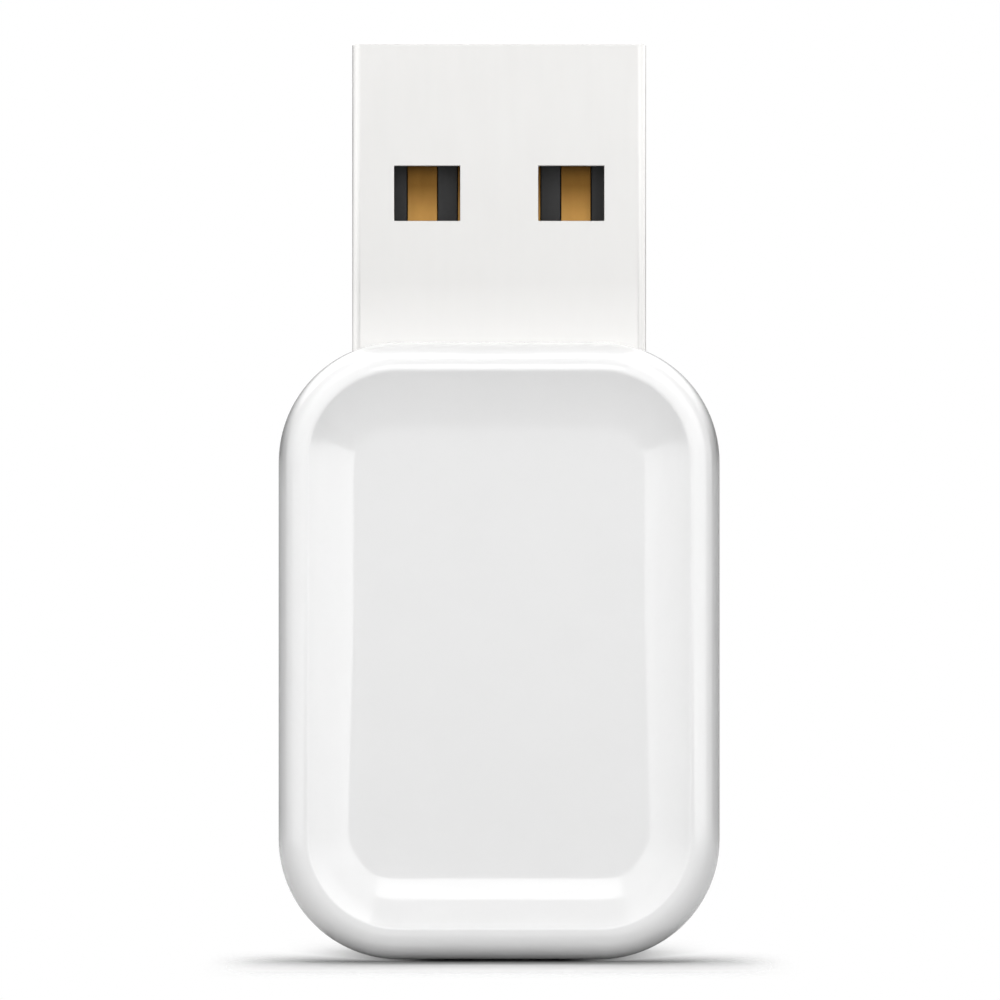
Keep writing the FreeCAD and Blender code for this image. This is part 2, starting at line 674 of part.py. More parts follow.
def formed_lead(x, side, z):
    """One lead: out of the body, down to the board and out again as a foot."""
    body_x = LEADED_WIDTH / 2
    foot_x = LEAD_SPAN / 2
    knee_x = body_x + (foot_x - body_x) / 2
    level = BOARD_FRONT_Y - LEADED_STANDOFF - LEADED_HEIGHT / 2
    t = LEAD_THICKNESS
    places = [
        (body_x, level - t),
        (knee_x, level - t),
        (knee_x, BOARD_FRONT_Y - t),
        (foot_x, BOARD_FRONT_Y - t),
        (foot_x, BOARD_FRONT_Y),
        (knee_x - t, BOARD_FRONT_Y),
        (knee_x - t, level),
        (body_x, level),
    ]
    corners = [V(x + side * px, py, z - LEAD_WIDTH / 2) for px, py in places]
    return Part.Face(Part.makePolygon(corners + corners[:1])).extrude(V(0, 0, LEAD_WIDTH))


def chip_leads():
    """Six leads on the surge protector and five on the regulator."""
    leads = []
    for row in (-1, 0, 1):
        z = ROW_Z + row * LEAD_PITCH
        for x in (SURGE_X, REGULATOR_X):
            leads.append(formed_lead(x, -1, z))
            if x == SURGE_X or row != 0:
                leads.append(formed_lead(x, 1, z))
    return group(leads)


def radio_shield_can():
    """The folded cover over the radio: five walls, open towards the board, with vent holes."""
    half = CAN_WIDTH / 2
    can = block(-half, half, CAN_FRONT_Y, BOARD_FRONT_Y, CAN_BOTTOM_Z, CAN_TOP_Z)
    t = CAN_SHEET
    inner_y = CAN_FRONT_Y + t
    room = block(-half + t, half - t, inner_y, BOARD_FRONT_Y + MARGIN, CAN_BOTTOM_Z + t, CAN_TOP_Z - t)
    can = can.cut(room)
    for side in (-1, 1):
        x = side * CAN_HOLE_SPACING / 2
        can = can.cut(rod(x, CAN_FRONT_Y - MARGIN, inner_y + MARGIN / 2, CAN_MIDDLE_Z, CAN_HOLE))
    return can


def capped_part(x, z, length, width, height, face=1):
    """A ceramic part along X with a metal cap at each end. Face is -1 for the front, 1 the back."""
    seat = BOARD_FRONT_Y if face < 0 else BOARD_BACK_Y
    far = seat + face * height
    near = far - face * END_CAP_PROUD
    half = length / 2 - END_CAP_PROUD
    low = z - width / 2
    z0 = low + END_CAP_PROUD
    z1 = low + width - END_CAP_PROUD
    body = block(x - half, x + half, min(seat, near), max(seat, near), z0, z1)
    caps = []
    for start in (x - length / 2, x + length / 2 - END_CAP_LENGTH):
        caps.append(block(start, start + END_CAP_LENGTH, min(seat, far), max(seat, far), low, low + width))
    return fused([body] + caps)


def bulk_capacitors():
    """Two large supply capacitors side by side on the back of the board."""
    caps = []
    for side in (-1, 1):
        caps.append(capped_part(side * BIG_CAP_X, ROW_Z, BIG_CAP_LENGTH, BIG_CAP_WIDTH, BIG_CAP_HEIGHT))
    return group(caps)


def small_row(z, height):
    """Five small parts in a row across the back of the board."""
    row = []
    for place in (-2, -1, 0, 1, 2):
        row.append(capped_part(place * SMALL_SPACING, z, SMALL_LENGTH, SMALL_WIDTH, height))
    return group(row)


def bypass_capacitors():
    """The small supply capacitors, behind the upper half of the radio chip."""
    return small_row(CAN_MIDDLE_Z + SMALL_ROW_SPREAD / 2, SMALL_CAP_HEIGHT)


def resistors():
    """The small resistors, behind the lower half of the radio chip."""
    return small_row(CAN_MIDDLE_Z - SMALL_ROW_SPREAD / 2, RESISTOR_HEIGHT)


def matching_coils():
    """Three small coils beside the radio chip, between it and the filter."""
    coils = []
    for place in (-1, 0, 1):
        z = CAN_MIDDLE_Z + place * MATCHING_SPACING
        coils.append(capped_part(MATCHING_X, z, SMALL_LENGTH, SMALL_WIDTH, SMALL_CAP_HEIGHT, -1))
    return group(coils)


def resettable_fuse():
    """The fuse in the power line, on the back of the board above the capacitors."""
    return capped_part(0, FUSE_Z, FUSE_LENGTH, FUSE_WIDTH, FUSE_HEIGHT)


def ferrite_bead():
    """The bead in the power line, on the back of the board below the capacitors."""
    return capped_part(0, FERRITE_Z, FERRITE_LENGTH, FERRITE_WIDTH, FERRITE_HEIGHT)


def usb_contact(index):
    """One of the four strips, numbered from the left."""
    return contact_profile(CONTACT_XS[index], 0)


PARTS = {
    "front_cover": front_cover,
    "rear_cover": rear_cover,
    "usb_plug_shell": usb_plug_shell,
    "plug_insulator": plug_insulator,
    "usb_contact_power": lambda: usb_contact(0),
    "usb_contact_data_minus": lambda: usb_contact(1),
    "usb_contact_data_plus": lambda: usb_contact(2),
    "usb_contact_ground": lambda: usb_contact(3),
    "circuit_board": circuit_board,
    "radio_chip": lambda: chip(RADIO_X, CAN_MIDDLE_Z, RADIO_SIZE, RADIO_SIZE, RADIO_HEIGHT),
    "radio_crystal": lambda: chip(SIDE_PART_X, CRYSTAL_Z, CRYSTAL_WIDTH, CRYSTAL_LENGTH, CRYSTAL_HEIGHT),
    "band_filter": lambda: chip(SIDE_PART_X, FILTER_Z, FILTER_SIZE, FILTER_SIZE, FILTER_HEIGHT),
    "matching_coils": matching_coils,
    "radio_shield_can": radio_shield_can,
    "stamped_antenna": stamped_antenna,
    "usb_bridge_chip": lambda: chip(BRIDGE_X, ROW_Z, BRIDGE_SIZE, BRIDGE_SIZE, BRIDGE_HEIGHT),
    "surge_protector": lambda: leaded_body(SURGE_X),
    "voltage_regulator": lambda: leaded_body(REGULATOR_X),
    "chip_leads": chip_leads,
    "bulk_capacitors": bulk_capacitors,
    "resettable_fuse": resettable_fuse,
    "ferrite_bead": ferrite_bead,
    "bypass_capacitors": bypass_capacitors,
    "resistors": resistors,
    "contact_solder": contact_solder,
    "shell_solder": shell_solder,
    "antenna_solder": antenna_solder,
}

os.makedirs("parts", exist_ok=True)
for name, make in PARTS.items():
    shape = make()
    if not shape.isValid() or not shape.Solids:
        raise RuntimeError(name + " is not a sound solid")
    shape.exportStep("parts/" + name + ".step")
    print(name, "solids", len(shape.Solids), "volume", round(shape.Volume, 3))
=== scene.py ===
"""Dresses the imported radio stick: its glossy covers, its plug and the parts inside."""
import math

import bmesh
import bpy
from bpy.props import FloatProperty, FloatVectorProperty, IntProperty, PointerProperty
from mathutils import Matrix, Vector


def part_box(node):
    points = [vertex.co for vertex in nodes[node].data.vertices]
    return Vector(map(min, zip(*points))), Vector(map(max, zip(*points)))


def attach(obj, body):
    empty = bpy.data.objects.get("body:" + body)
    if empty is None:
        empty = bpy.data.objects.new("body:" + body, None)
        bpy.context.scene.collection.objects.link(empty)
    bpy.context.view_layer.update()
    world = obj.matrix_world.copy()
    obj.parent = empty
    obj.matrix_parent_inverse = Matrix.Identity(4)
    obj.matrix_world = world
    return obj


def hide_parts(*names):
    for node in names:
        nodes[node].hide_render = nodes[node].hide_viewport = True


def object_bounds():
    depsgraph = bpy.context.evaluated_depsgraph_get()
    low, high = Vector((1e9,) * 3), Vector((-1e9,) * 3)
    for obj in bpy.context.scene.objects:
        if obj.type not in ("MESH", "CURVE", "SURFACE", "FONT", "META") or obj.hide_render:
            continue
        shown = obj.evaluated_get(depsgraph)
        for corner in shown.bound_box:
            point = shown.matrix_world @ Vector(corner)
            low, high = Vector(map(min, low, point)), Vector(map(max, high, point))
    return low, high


bl_info = {
    "name": "Radio stick",
    "version": (1, 0, 0),
    "blender": (4, 5, 0),
    "location": "View3D > Sidebar > Radio stick",
    "description": "Covers, plug and inner parts of a smart home radio stick, on its packed frame",
    "category": "Object",
}

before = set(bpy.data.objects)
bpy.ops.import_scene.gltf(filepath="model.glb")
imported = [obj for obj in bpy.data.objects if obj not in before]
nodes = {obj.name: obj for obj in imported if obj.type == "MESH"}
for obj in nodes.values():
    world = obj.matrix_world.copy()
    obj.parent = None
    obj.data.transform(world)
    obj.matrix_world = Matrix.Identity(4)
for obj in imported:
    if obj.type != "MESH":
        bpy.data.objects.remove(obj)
cad_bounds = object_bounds()

MM = 0.001
JOINED = 1e-6  # corners nearer than this are one
SHARP = math.radians(32)  # edges that turn more stay crisp
EASED_FROM = math.radians(40.0)  # CAD edges that turn more are rounded
FLAT = math.radians(1.0)  # CAD faces that turn less are one
SNAP_DIGITS = 4  # of a millimetre, before a cut
SLIVER = 0.0005  # in millimetres: what a cut leaves shorter than this goes
WHITE = (1.0, 1.0, 1.0, 1.0)
BLACK = (0.0, 0.0, 0.0, 1.0)

front_low, front_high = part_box("front_cover")
rear_low, rear_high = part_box("rear_cover")
shell_low, shell_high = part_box("usb_plug_shell")


def length(name, description, default):
    """A size that a user would change, in metres."""
    return FloatProperty(
        name=name, description=description, default=default, min=0.0,
        subtype="DISTANCE", unit="LENGTH", precision=5,
    )


def colour(name, description, default):
    """A colour that a user would change."""
    return FloatVectorProperty(
        name=name, description=description, default=default, min=0.0, max=1.0,
        size=3, subtype="COLOR",
    )


def share(name, description, default, high=1.0):
    """A plain number such as a roughness or a strength."""
    return FloatProperty(name=name, description=description, default=default, min=0.0, max=high)


def panel_level(name, which, default):
    """How bright a panel of the stage is for gloss."""
    return share(name, "How bright the " + which + " looks in gloss", default, 20.0)


def lamp_power(name, which, default):
    """The power of a lamp of the stage."""
    return share(name, "Power of the " + which + ", in watts", default, 100.0)


class CoverSettings(bpy.types.PropertyGroup):
    """Sizes and colour of the two moulded covers."""

    corner: length("Corner radius", "Corners of the housing, seen from the front", 4.9 * MM)
    front_round: length("Front round width", "How far the front edge's rounding reaches in",
                        1.1 * MM)
    front_round_depth: length("Front round depth", "How far this rounding reaches back", 2.2 * MM)
    back_round: length("Back round", "Radius of the back edge", 1.5 * MM)
    land: length("Rim land", "Flat top of the rim beside the dish", 0.15 * MM)
    crest: length("Crest round", "Radius where the rim turns into the dish", 0.13 * MM)
    bottom_land: length("Bottom land", "How much wider the rim is at the closed end", 0.13 * MM)
    dish_depth: length("Dish depth", "From the rim to the dish's floor", 0.8 * MM)
    dish_side: length("Dish side width", "Width of the dish's slope at the sides", 1.95 * MM)
    dish_top: length("Dish top width", "Width of the slope at the plug's end", 2.45 * MM)
    dish_bottom: length("Dish bottom width", "Width of the slope at the closed end", 2.25 * MM)
    floor_corner: length("Dish floor corner", "Corner radius of the dish's floor", 1.4 * MM)
    groove: length("Parting groove", "Depth of the line between the covers", 0.12 * MM)
    wall_kept: length("Skin", "Outer part of the walls that is modelled anew", 0.5 * MM)
    opening_clearance: length("Opening clearance", "Room round the plug in the top wall", 0.05 * MM)
    corner_steps: IntProperty(name="Corner steps", description="Faces round a corner",
                              default=24, min=4)
    side_steps: IntProperty(name="Side steps", description="Faces along a side", default=8, min=1)
    white: colour("White", "Colour of the moulded covers", (0.80, 0.80, 0.80))
    roughness: share("Roughness", "Of the plastic under the polish", 0.36)
    coat: share("Coat", "Strength of the polish", 1.0)


class PlugSettings(bpy.types.PropertyGroup):
    """Sizes and colours of the plug."""

    tube_width: length("Tube width", "Width of the plug's tube, without its folded ears", 12.0 * MM)
    edge: length("Edge ease", "Rounding of the sheet's cut edges", 0.035 * MM)
    steel: colour("Steel", "Colour of the plug's sheet", (0.76, 0.754, 0.743))
    # Painted light on the steel near the housing and painted shade above it, multiplied into its
    # colour by height
    steel_painted_shade: colour("Steel painted shade", "What the steel is multiplied by away from the housing",
                       (0.895, 0.895, 0.895))
    steel_painted_light_end: length("Steel bright end", "Height up to which the steel shines most",
                             25.3 * MM)
    steel_painted_shade_start: length("Steel painted shade start", "Height from which the steel is even", 27.6 * MM)
    bend_radius: length("Bend radius", "Outer radius of the sheet's long bends", 0.35 * MM)
    # Painted reflection on the tube's long bends: shade on the right-hand ones, light on the
    # left-hand ones and outermost
    right_bend_painted_shade: share("Right bend tone", "What the steel is multiplied by on the right-hand bends",
                      0.8)
    left_bend_painted_light: share("Left bend tone", "What the steel is multiplied by on the left-hand bends",
                     1.1, 2.0)
    outer_bend_painted_light: share("Outer bend tone", "What the steel is multiplied by outermost on all bends",
                      1.3, 2.0)
    steel_roughness: share("Steel roughness", "Of the satin sheet", 0.44)
    gold: colour("Gold", "Colour of the plated contacts", (0.44, 0.24, 0.068))
    # Painted shade on the contacts towards the tip, multiplied into their colour by height
    gold_painted_shade: colour("Gold painted shade", "What the gold's colour is multiplied by towards the tip",
                      (0.38, 0.345, 0.28))
    gold_painted_light_end: length("Gold bright end", "Height where the contacts shine most", 30.15 * MM)
    gold_painted_shade_end: length("Gold painted shade end", "Height where the contacts are dullest", 31.65 * MM)
    gold_roughness: share("Gold roughness", "Of the plated contacts", 0.34)
    plastic: colour("Insulator", "Colour of the moulded block", (0.012, 0.012, 0.0125))
    plastic_roughness: share("Insulator roughness", "Of the moulded block", 0.5)


class InsideSettings(bpy.types.PropertyGroup):
    """Colours of the parts inside the housing."""

    mask: colour("Solder mask", "Colour of the board's lacquer", (0.012, 0.12, 0.045))
    copper: colour("Copper under mask", "Colour of the tracks under the lacquer",
                   (0.03, 0.22, 0.07))
    resin: colour("Chip resin", "Colour of the chips' bodies", (0.02, 0.02, 0.021))
    tin: colour("Tin", "Colour of the tinned steel", (0.66, 0.66, 0.64))
    solder: colour("Solder", "Colour of the joints", (0.6, 0.6, 0.61))
    white_ceramic: colour("White ceramic", "Colour of the filter and the coils", (0.72, 0.71, 0.66))
    tan_ceramic: colour("Tan ceramic", "Colour of the capacitors", (0.38, 0.25, 0.14))
    ferrite: colour("Ferrite", "Colour of the bead", (0.06, 0.06, 0.065))
    edge: length("Edge ease", "Rounding of the parts' edges", 0.03 * MM)


class StageSettings(bpy.types.PropertyGroup):
    """The floor, the lamps and the camera."""

    floor: colour("Floor", "Colour of the floor, as the camera sees it", (0.76, 0.76, 0.76))
    floor_bounce: colour("Floor bounce", "Colour of the light that the floor throws back",
                         (0.51, 0.51, 0.51))
    floor_reach: length("Floor reach", "Radius of the floor", 0.30)
    side_fade: length("Side fade", "How far beside the housing the floor has faded into white",
                      3.2 * MM)
    front_start: length("Front start", "How far in front the floor starts to fade into white",
                        5.0 * MM)
    front_end: length("Front end", "How far in front the floor has faded", 15.5 * MM)
    back_fade: length("Back fade", "Half of the depth over which the floor fades beside the foot",
                      4.0 * MM)
    back_end: length("Back end", "How far behind the middle it has faded everywhere", 14.0 * MM)
    gloss_fade_start: length("Fade start in gloss", "Where the floor starts to fade in gloss",
                             45.0 * MM)
    gloss_fade_end: length("Fade end in gloss", "Where the floor has faded in gloss", 125.0 * MM)
    # The contact shadow, from ambient occlusion, and the line under the foot are shade painted into
    # the floor's colour
    contact_reach: length("Contact reach", "How far the contact shadow reaches", 6.0 * MM)
    painted_shadow_start: length("Line start",
                       "From the middle to where the line under the foot starts to thin", 2.5 * MM)
    painted_shadow_end: length("Line end", "From the middle to where the line ends", 9.5 * MM)
    painted_shadow_front: length("Line front", "How far in front the line starts to thin", 4.8 * MM)
    line_width: length("Line width", "Over what depth it thins", 1.3 * MM)
    painted_shadow_depth: share("Line depth", "How much of the light the line takes", 0.5)
    contact_depth: share("Contact depth", "How deep the contact shadow is", 1.0, 10.0)
    ambient: share("Ambient", "Strength of the light from all round", 0.0, 10.0)
    mirrored: share("Mirrored", "How bright the surroundings look in gloss", 0.4, 10.0)
    right_panel: panel_level("Right panel", "panel on the right", 2.0)
    right_far_panel: panel_level("Far right panel", "panel beyond the right one", 2.15)
    right_upper_panel: panel_level("Upper right panel", "panel above the right one", 1.5)
    left_upper_panel: panel_level("Upper left panel", "panel above the left one", 1.3)
    left_panel: panel_level("Left panel", "panel on the left", 1.5)
    left_far_panel: panel_level("Far left panel", "panel beyond the left one", 1.5)
    right_edge_panel: panel_level("Right edge panel", "panel right beside the object", 1.1)
    left_edge_panel: panel_level("Left edge panel", "panel left beside the object", 1.0)
    strip_panel: panel_level("Strip panel", "strip above the camera", 2.55)
    upper_panel: panel_level("Upper panel", "panel above the strip", 0.75)
    overhead_panel: panel_level("Overhead panel", "panel overhead", 2.3)
    behind_panel: panel_level("Behind panel", "panel high behind the object", 3.0)
    top: lamp_power("Top lamp", "lamp above", 2.5)
    front: lamp_power("Front lamp", "high lamp in front", 0.69)
    front_low: lamp_power("Low front lamp", "low lamp in front", 1.33)
    left: lamp_power("Left lamp", "lamp on the left", 0.43)
    right: lamp_power("Right lamp", "lamp on the right", 0.29)
    back: lamp_power("Back lamp", "lamp behind", 1.5)
    card_gap: length("Card gap", "From the middle to the near edge of a dark card", 0.05)
    card_width: length("Card width", "Width of a dark card", 0.35)
    card_back: length("Card distance", "How far a dark card stands behind the object", 0.25)
    card_height: length("Card height", "Height of a dark card", 30.0 * MM)
    card_glow: share("Card glow", "How bright a dark card looks in gloss", 0.33)
    card_fade: length("Card fade", "Height where a dark card starts to thin out", 17.0 * MM)
    eye_height: length("Eye height", "Height of the camera above the floor", 18.74 * MM)
    eye_side: length("Eye side", "How far the camera stands to the right", 0.035 * MM)
    eye_distance: length("Eye distance", "From the camera to the object's middle", 301.65 * MM)
    lens: share("Lens", "Focal length in millimetres", 264.2, 1000.0)


class StickSettings(bpy.types.PropertyGroup):
    """Everything that can be set on the stick and its stage."""

    covers: PointerProperty(type=CoverSettings)
    plug: PointerProperty(type=PlugSettings)
    inside: PointerProperty(type=InsideSettings)
    stage: PointerProperty(type=StageSettings)


def settings():
    """The stick's settings on the open scene."""
    return bpy.context.scene.radio_stick


# Shader groups and materials

class Graph:
    """A short way to place and join nodes in one tree."""

    def __init__(self, tree, fresh=True):
        self.tree = tree
        if fresh:
            tree.nodes.clear()

    def add(self, kind, values=None, **fields):
        """A new node; a value that is a socket is joined, and another one is set."""
        node = self.tree.nodes.new(kind)
        for field, value in fields.items():
            setattr(node, field, value)
        for socket, value in (values or {}).items():
            if isinstance(value, bpy.types.NodeSocket):
                self.tree.links.new(value, node.inputs[socket])
            else:
                node.inputs[socket].default_value = value
        return node

    def math(self, operation, *values):
        return self.add("ShaderNodeMath", dict(enumerate(values)), operation=operation).outputs[0]

    def mix(self, factor, first, second, kind="MIX"):
        """The first colour where factor is 0 and the second where it is 1."""
        sockets = {0: factor, 6: first, 7: second}
        return self.add("ShaderNodeMix", sockets, data_type="RGBA", blend_type=kind).outputs[2]

    def multiply(self, first, second):
        return self.mix(1.0, first, second, "MULTIPLY")

    def spread(self, value, low, high, to_low, to_high, kind="LINEAR"):
        """to_low where the value is low and to_high where it is high; kind is how it gets there."""
        return self.add("ShaderNodeMapRange", {
            "Value": value, "From Min": low, "From Max": high, "To Min": to_low, "To Max": to_high,
        }, interpolation_type=kind).outputs["Result"]

    def ramp(self, value, start, end):
        """1 up to start and 0 from end on, with a soft passage."""
        return self.spread(value, start, end, 1.0, 0.0, "SMOOTHSTEP")

    def around(self):
        """Coordinates on the object."""
        return self.add("ShaderNodeTexCoord").outputs["Object"]

    def place(self):
        """The same three coordinates, one socket each."""
        return self.add("ShaderNodeSeparateXYZ", {"Vector": self.around()}).outputs


def group_with(name, inputs, outputs):
    """A new shader group with named sockets, and its graph."""
    tree = bpy.data.node_groups.new(name, "ShaderNodeTree")
    kinds = {"float": "NodeSocketFloat", "colour": "NodeSocketColor", "vector": "NodeSocketVector"}
    for label, kind, default in inputs:
        socket = tree.interface.new_socket(name=label, in_out="INPUT", socket_type=kinds[kind])
        socket.default_value = default
    for label, kind in outputs:
        tree.interface.new_socket(name=label, in_out="OUTPUT", socket_type=kinds[kind])
    return tree, Graph(tree)


def fine_grain_group():
    """Soft mottling and hairlines: a mask about 0.5, a roughness and a height."""
    tree, graph = group_with(
        "fine grain",
        [("Mottle scale", "float", 900.0), ("Hair scale", "float", 6000.0),
         ("Stretch", "vector", (1.0, 1.0, 1.0)),
         ("Rough low", "float", 0.2), ("Rough high", "float", 0.3)],
        [("Mask", "float"), ("Roughness", "float"), ("Height", "float")],
    )
    put_in = graph.add("NodeGroupInput").outputs
    place = graph.around()
    drawn = graph.add("ShaderNodeVectorMath", {0: place, 1: put_in["Stretch"]},
                      operation="MULTIPLY")
    mottle = graph.add("ShaderNodeTexNoise", {
        "Vector": place, "Scale": put_in["Mottle scale"], "Detail": 3.0, "Roughness": 0.55,
    }).outputs["Fac"]
    hair = graph.add("ShaderNodeTexNoise", {
        "Vector": drawn.outputs[0], "Scale": put_in["Hair scale"], "Detail": 2.0, "Roughness": 0.6,
    }).outputs["Fac"]
    both = graph.math("ADD", graph.math("MULTIPLY", mottle, 0.5), graph.math("MULTIPLY", hair, 0.5))
    rough = graph.spread(both, 0.35, 0.65, put_in["Rough low"], put_in["Rough high"])
    graph.add("NodeGroupOutput", {"Mask": mottle, "Roughness": rough, "Height": both})
    return tree


def painted_height_shade_group():
    """A colour that is multiplied by a painted shade: not at low, and fully from high on, along Z.
    """
    tree, graph = group_with(
        "height fade",
        [("Colour", "colour", WHITE), ("Low", "float", 0.0), ("High", "float", 1.0),
         ("Shade", "colour", WHITE)],
        [("Colour", "colour")],
    )
    put_in = graph.add("NodeGroupInput").outputs
    level = graph.spread(graph.place()["Z"], put_in["Low"], put_in["High"], 0.0, 1.0)
    shade = graph.mix(level, WHITE, put_in["Shade"])
    graph.add("NodeGroupOutput", {"Colour": graph.multiply(put_in["Colour"], shade)})
    return tree


def rgba(value):
    """Four numbers from a three number colour."""
    return (value[0], value[1], value[2], 1.0)


def tinted(value, factor):
    """A lighter or darker neighbour of a colour."""
    return tuple(min(1.0, part * factor) for part in value[:3]) + (1.0,)


def grey(level):
    """A grey of that level, which may be over 1 where it multiplies."""
    return (level, level, level, 1.0)


def surface(name, base, rough, *, contrast, mottle, hairs, bump, stretch=(1.0, 1.0, 1.0),
            metallic=0.0, coat=0.0, ior=1.5):
    """A material with the shared grain.

    base is its colour and contrast how far that strays, rough its lowest and highest roughness,
    mottle and hairs the scales of the two grains, stretch what draws the hairs out, and bump
    their height.
    """
    material = bpy.data.materials.new(name)
    material.use_nodes = True
    graph = Graph(material.node_tree)
    grain = graph.add("ShaderNodeGroup", {
        "Mottle scale": mottle, "Hair scale": hairs, "Stretch": stretch,
        "Rough low": rough[0], "Rough high": rough[1],
    }, node_tree=bpy.data.node_groups.get("fine grain") or fine_grain_group()).outputs
    mask = graph.spread(grain["Mask"], 0.3, 0.7, 0.0, 1.0)
    tone = graph.mix(mask, tinted(base, 1.0 - contrast), tinted(base, 1.0 + contrast))
    raised = graph.add("ShaderNodeBump", {
        "Height": grain["Height"], "Distance": bump, "Strength": 1.0,
    })
    shader = graph.add("ShaderNodeBsdfPrincipled", {
        "Base Color": tone, "Roughness": grain["Roughness"], "Metallic": metallic,
        "IOR": ior, "Normal": raised.outputs["Normal"],
    })
    if coat:
        shader.inputs["Coat Weight"].default_value = coat
        shader.inputs["Coat Roughness"].default_value = 0.04
        shader.inputs["Coat IOR"].default_value = 1.7
    graph.add("ShaderNodeOutputMaterial", {"Surface": shader.outputs["BSDF"]})
    return material


def base_colour(material):
    """A graph on a finished material, its main shader and what feeds that shader's base colour."""
    graph = Graph(material.node_tree, fresh=False)
    shader = next(node for node in graph.tree.nodes if node.type == "BSDF_PRINCIPLED")
    return graph, shader, shader.inputs["Base Color"].links[0].from_socket


def painted_shade_towards_tip(material, low, high, shade):
    """Paints shade into a finish along Z: multiplies it by shade, not at low, and fully from high
    on.
    """
    graph, shader, tone = base_colour(material)
    faded = graph.add("ShaderNodeGroup", {
        "Colour": tone, "Low": low, "High": high, "Shade": rgba(shade),
    }, node_tree=bpy.data.node_groups.get("height fade") or painted_height_shade_group())
    graph.tree.links.new(faded.outputs["Colour"], shader.inputs["Base Color"])


# Where each painted reflection tone sets in and is full on the long bends, as depths under the
# tube's outside in bend radii: the first three under its sides, and the last under its front and
# back
RIGHT_START, RIGHT_FULL = 0.8, 0.5
LEFT_START, LEFT_FULL = 1.0, 0.75
OUTER_START, OUTER_FULL = 0.37, 0.12
FLANK_START, FLANK_FULL = 1.0, 0.85


def painted_bend_reflections(material, values):
    """Paints reflection into the tube's finish: a tone on its right-hand and left-hand bends, and
    outermost on all.
    """
    graph, shader, plain = base_colour(material)
    place = graph.place()
    across = place["X"]
    half, radius = values.tube_width / 2, values.bend_radius
    inside = graph.ramp(across, half - RIGHT_START * radius, half - RIGHT_FULL * radius)
    shade = graph.mix(inside, grey(values.right_bend_painted_shade), WHITE)
    beyond = graph.ramp(across, LEFT_FULL * radius - half, LEFT_START * radius - half)
    shade = graph.mix(beyond, shade, grey(values.left_bend_painted_light))
    inside = graph.ramp(graph.math("ABSOLUTE", across),
                        half - OUTER_START * radius, half - OUTER_FULL * radius)
    shade = graph.mix(inside, grey(values.outer_bend_painted_light), shade)
    flank = graph.ramp(graph.math("ABSOLUTE", place["Y"]),
                       shell_high.y - FLANK_START * radius, shell_high.y - FLANK_FULL * radius)
    shade = graph.mix(flank, shade, WHITE)
    graph.tree.links.new(graph.multiply(plain, shade), shader.inputs["Base Color"])


TRACK_GAP = 0.09 * MM
TRACK_LENGTH = 1.7 * MM
TRACK_PITCH = 0.55 * MM
VIA_SCALE = 620.0  # cells a metre
VIA_SIZE = 0.16  # radius in cells


def tracked(material, copper):
    """Draws copper tracks and small round vias under a board's lacquer."""
    graph, shader, tone = base_colour(material)
    place = graph.around()
    turned = graph.add("ShaderNodeMapping", {
        "Vector": place, "Rotation": (math.radians(90.0), 0.0, 0.0),
    })
    tracks = graph.add("ShaderNodeTexBrick", {
        "Vector": turned.outputs["Vector"], "Scale": 1.0, "Mortar Smooth": 0.1,
        "Mortar Size": TRACK_GAP, "Brick Width": TRACK_LENGTH, "Row Height": TRACK_PITCH,
    }, offset=0.37)
    vias = graph.add("ShaderNodeTexVoronoi", {
        "Vector": place, "Scale": VIA_SCALE, "Randomness": 0.8,
    })
    rings = graph.math("LESS_THAN", vias.outputs["Distance"], VIA_SIZE)
    marks = graph.math("MAXIMUM", tracks.outputs["Fac"], rings)
    graph.tree.links.new(graph.mix(marks, tone, rgba(copper)), shader.inputs["Base Color"])


# Meshes

def linked(name, mesh):
    """A new object in the scene that shows a mesh."""
    piece = bpy.data.objects.new(name, mesh)
    bpy.context.scene.collection.objects.link(piece)
    return piece


def built(name, build):
    """A new object with what was built, which is freed."""
    mesh = bpy.data.meshes.new(name)
    build.to_mesh(mesh)
    build.free()
    return linked(name, mesh)


def ring(half, low, high, radius, y, corner_steps, side_steps):
    """Points round a rounded rectangle across Y, as many whatever its size."""
    centres = (
        (half - radius, low + radius, -90.0),
        (half - radius, high - radius, 0.0),
        (radius - half, high - radius, 90.0),
        (radius - half, low + radius, 180.0),
    )
    points = []
    for x, z, start in centres:
        for step in range(corner_steps + 1):
            angle = math.radians(start + 90.0 * step / corner_steps)
            points.append(Vector((x + radius * math.cos(angle), y, z + radius * math.sin(angle))))
    whole = []
    each = corner_steps + 1
    for corner in range(4):
        run = points[corner * each:(corner + 1) * each]
        after = points[(corner + 1) * each % len(points)]
        whole += run
        for step in range(1, side_steps):
            whole.append(run[-1].lerp(after, step / side_steps))
    return whole


def lofted(name, rings):
    """A closed mesh object through rings of equal counts, with a flat face at each end."""
    build = bmesh.new()
    rows = [[build.verts.new(point) for point in points] for points in rings]
    count = len(rows[0])
    for first, second in zip(rows, rows[1:]):
        for index in range(count):
            after = (index + 1) % count
            build.faces.new((first[index], first[after], second[after], second[index]))
    build.faces.new(rows[0][::-1])
    build.faces.new(rows[-1])
    bmesh.ops.recalc_face_normals(build, faces=build.faces)
    return built(name, build)


def joined_copy(name, node_name):
    """A copy of a CAD node's mesh with its split corners joined, to cut with."""
    build = bmesh.new()
    build.from_mesh(nodes[node_name].data)
    bmesh.ops.remove_doubles(build, verts=build.verts, dist=JOINED)
    return built(name, build)


